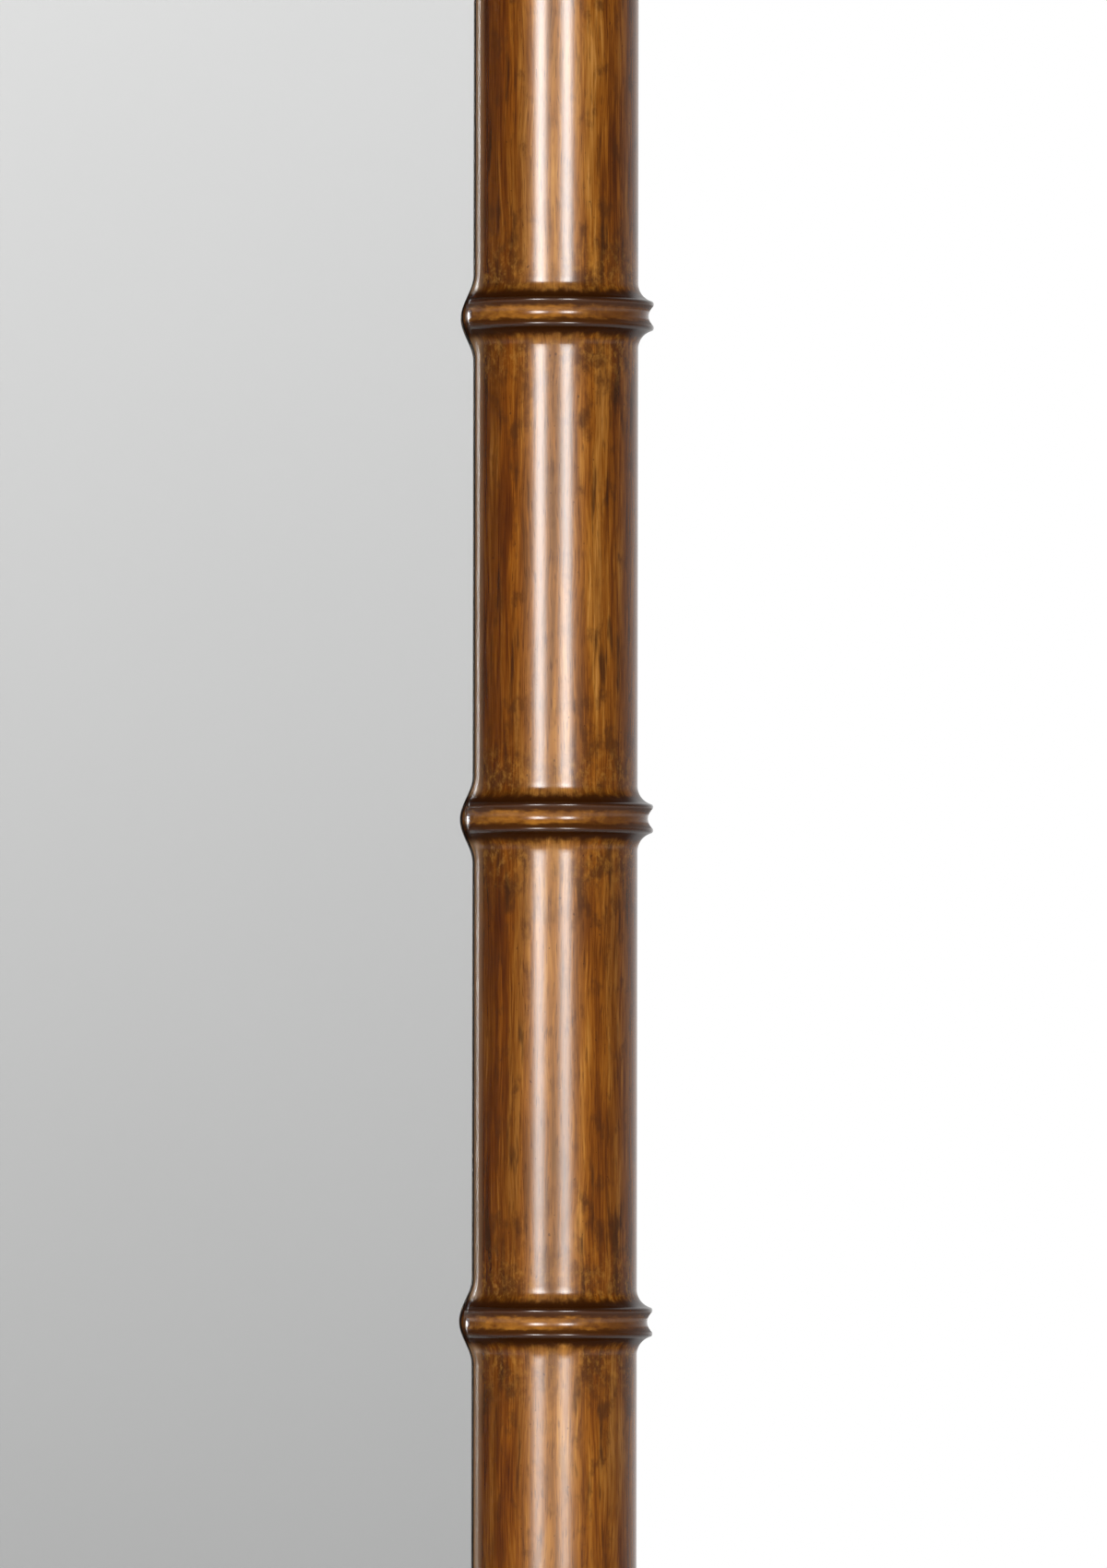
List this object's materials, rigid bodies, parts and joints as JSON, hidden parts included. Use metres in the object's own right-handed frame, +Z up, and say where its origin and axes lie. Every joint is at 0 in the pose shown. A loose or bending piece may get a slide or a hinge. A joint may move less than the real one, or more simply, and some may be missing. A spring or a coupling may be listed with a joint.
{
  "type": "wall mirror",
  "caption": "Upright wall mirror in a mitred frame of turned faux-bamboo poles in gloss lacquer, with D-ring hangers and turn buttons behind",
  "frame": {"origin": "the point of the wall plane midway between the two wall hooks' bearing points in the D-rings", "axes": "+X to the right of a viewer who faces the mirror, +Y into the wall, so the mirror faces -Y, +Z up"},
  "size_m": [0.6252, 0.0412, 0.9732],
  "materials": {
    "lacquered_wood": "golden brown faux-bamboo finish, dark glaze at the nodes, gloss lacquer",
    "biscuit_wood": "bare beech",
    "clear_glass": "polished float glass",
    "silvering": "silvered, painted on the back",
    "black_tape": "matt",
    "rubber": "matt",
    "cardboard": "plain kraft",
    "hardboard": "tempered hardboard, smooth face out",
    "zinc_plate": "bright zinc plate",
    "zinc_screws": "zinc plate"
  },
  "bodies": {
    "frame": {"stile_right": "lacquered_wood", "stile_left": "lacquered_wood", "rail_top": "lacquered_wood", "rail_bottom": "lacquered_wood", "corner_biscuits": "biscuit_wood", "mirror_glass": "clear_glass", "silvered_coating": "silvering", "rebate_tape": "black_tape", "setting_blocks": "rubber", "corrugated_sheet": "cardboard", "backing_board": "hardboard", "corner_plate_top_right": "zinc_plate", "corner_plate_top_left": "zinc_plate", "corner_plate_bottom_right": "zinc_plate", "corner_plate_bottom_left": "zinc_plate", "corner_plate_screws": "zinc_screws", "turn_button_screws": "zinc_screws", "hanger_strap_right": "zinc_plate", "hanger_strap_left": "zinc_plate", "hanger_screws": "zinc_screws", "wall_bumpers": "rubber"},
    "turn_button_right_lower": {"turn_button_right_lower": "zinc_plate"},
    "turn_button_right_middle": {"turn_button_right_middle": "zinc_plate"},
    "turn_button_right_upper": {"turn_button_right_upper": "zinc_plate"},
    "turn_button_left_upper": {"turn_button_left_upper": "zinc_plate"},
    "turn_button_left_middle": {"turn_button_left_middle": "zinc_plate"},
    "turn_button_left_lower": {"turn_button_left_lower": "zinc_plate"},
    "turn_button_top_right": {"turn_button_top_right": "zinc_plate"},
    "turn_button_top_left": {"turn_button_top_left": "zinc_plate"},
    "turn_button_bottom_left": {"turn_button_bottom_left": "zinc_plate"},
    "turn_button_bottom_right": {"turn_button_bottom_right": "zinc_plate"},
    "d_ring_right": {"d_ring_right": "zinc_plate"},
    "d_ring_left": {"d_ring_left": "zinc_plate"}
  },
  "joints": [
    {"name": "turn_button_right_lower_turn", "type": "hinge", "parent": "frame", "child": "turn_button_right_lower", "pos_m": [0.2856, -0.0047, -0.55433], "axis": [0, 1, 0], "continuous": true},
    {"name": "turn_button_right_middle_turn", "type": "hinge", "parent": "frame", "child": "turn_button_right_middle", "pos_m": [0.2856, -0.0047, -0.245], "axis": [0, 1, 0], "continuous": true},
    {"name": "turn_button_right_upper_turn", "type": "hinge", "parent": "frame", "child": "turn_button_right_upper", "pos_m": [0.2856, -0.0047, 0.06433], "axis": [0, 1, 0], "continuous": true},
    {"name": "turn_button_left_upper_turn", "type": "hinge", "parent": "frame", "child": "turn_button_left_upper", "pos_m": [-0.2856, -0.0047, 0.06433], "axis": [0, 1, 0], "continuous": true},
    {"name": "turn_button_left_middle_turn", "type": "hinge", "parent": "frame", "child": "turn_button_left_middle", "pos_m": [-0.2856, -0.0047, -0.245], "axis": [0, 1, 0], "continuous": true},
    {"name": "turn_button_left_lower_turn", "type": "hinge", "parent": "frame", "child": "turn_button_left_lower", "pos_m": [-0.2856, -0.0047, -0.55433], "axis": [0, 1, 0], "continuous": true},
    {"name": "turn_button_top_right_turn", "type": "hinge", "parent": "frame", "child": "turn_button_top_right", "pos_m": [0.145, -0.0047, 0.2146], "axis": [0, 1, 0], "continuous": true},
    {"name": "turn_button_top_left_turn", "type": "hinge", "parent": "frame", "child": "turn_button_top_left", "pos_m": [-0.145, -0.0047, 0.2146], "axis": [0, 1, 0], "continuous": true},
    {"name": "turn_button_bottom_left_turn", "type": "hinge", "parent": "frame", "child": "turn_button_bottom_left", "pos_m": [-0.145, -0.0047, -0.7046], "axis": [0, 1, 0], "continuous": true},
    {"name": "turn_button_bottom_right_turn", "type": "hinge", "parent": "frame", "child": "turn_button_bottom_right", "pos_m": [0.145, -0.0047, -0.7046], "axis": [0, 1, 0], "continuous": true},
    {"name": "d_ring_right_swing", "type": "hinge", "parent": "frame", "child": "d_ring_right", "pos_m": [0.29173, -0.00297, -0.01347], "axis": [-1, 0, 0], "range_deg": [0, 183]},
    {"name": "d_ring_left_swing", "type": "hinge", "parent": "frame", "child": "d_ring_left", "pos_m": [-0.29173, -0.00297, -0.01347], "axis": [-1, 0, 0], "range_deg": [0, 183]}
  ]
}
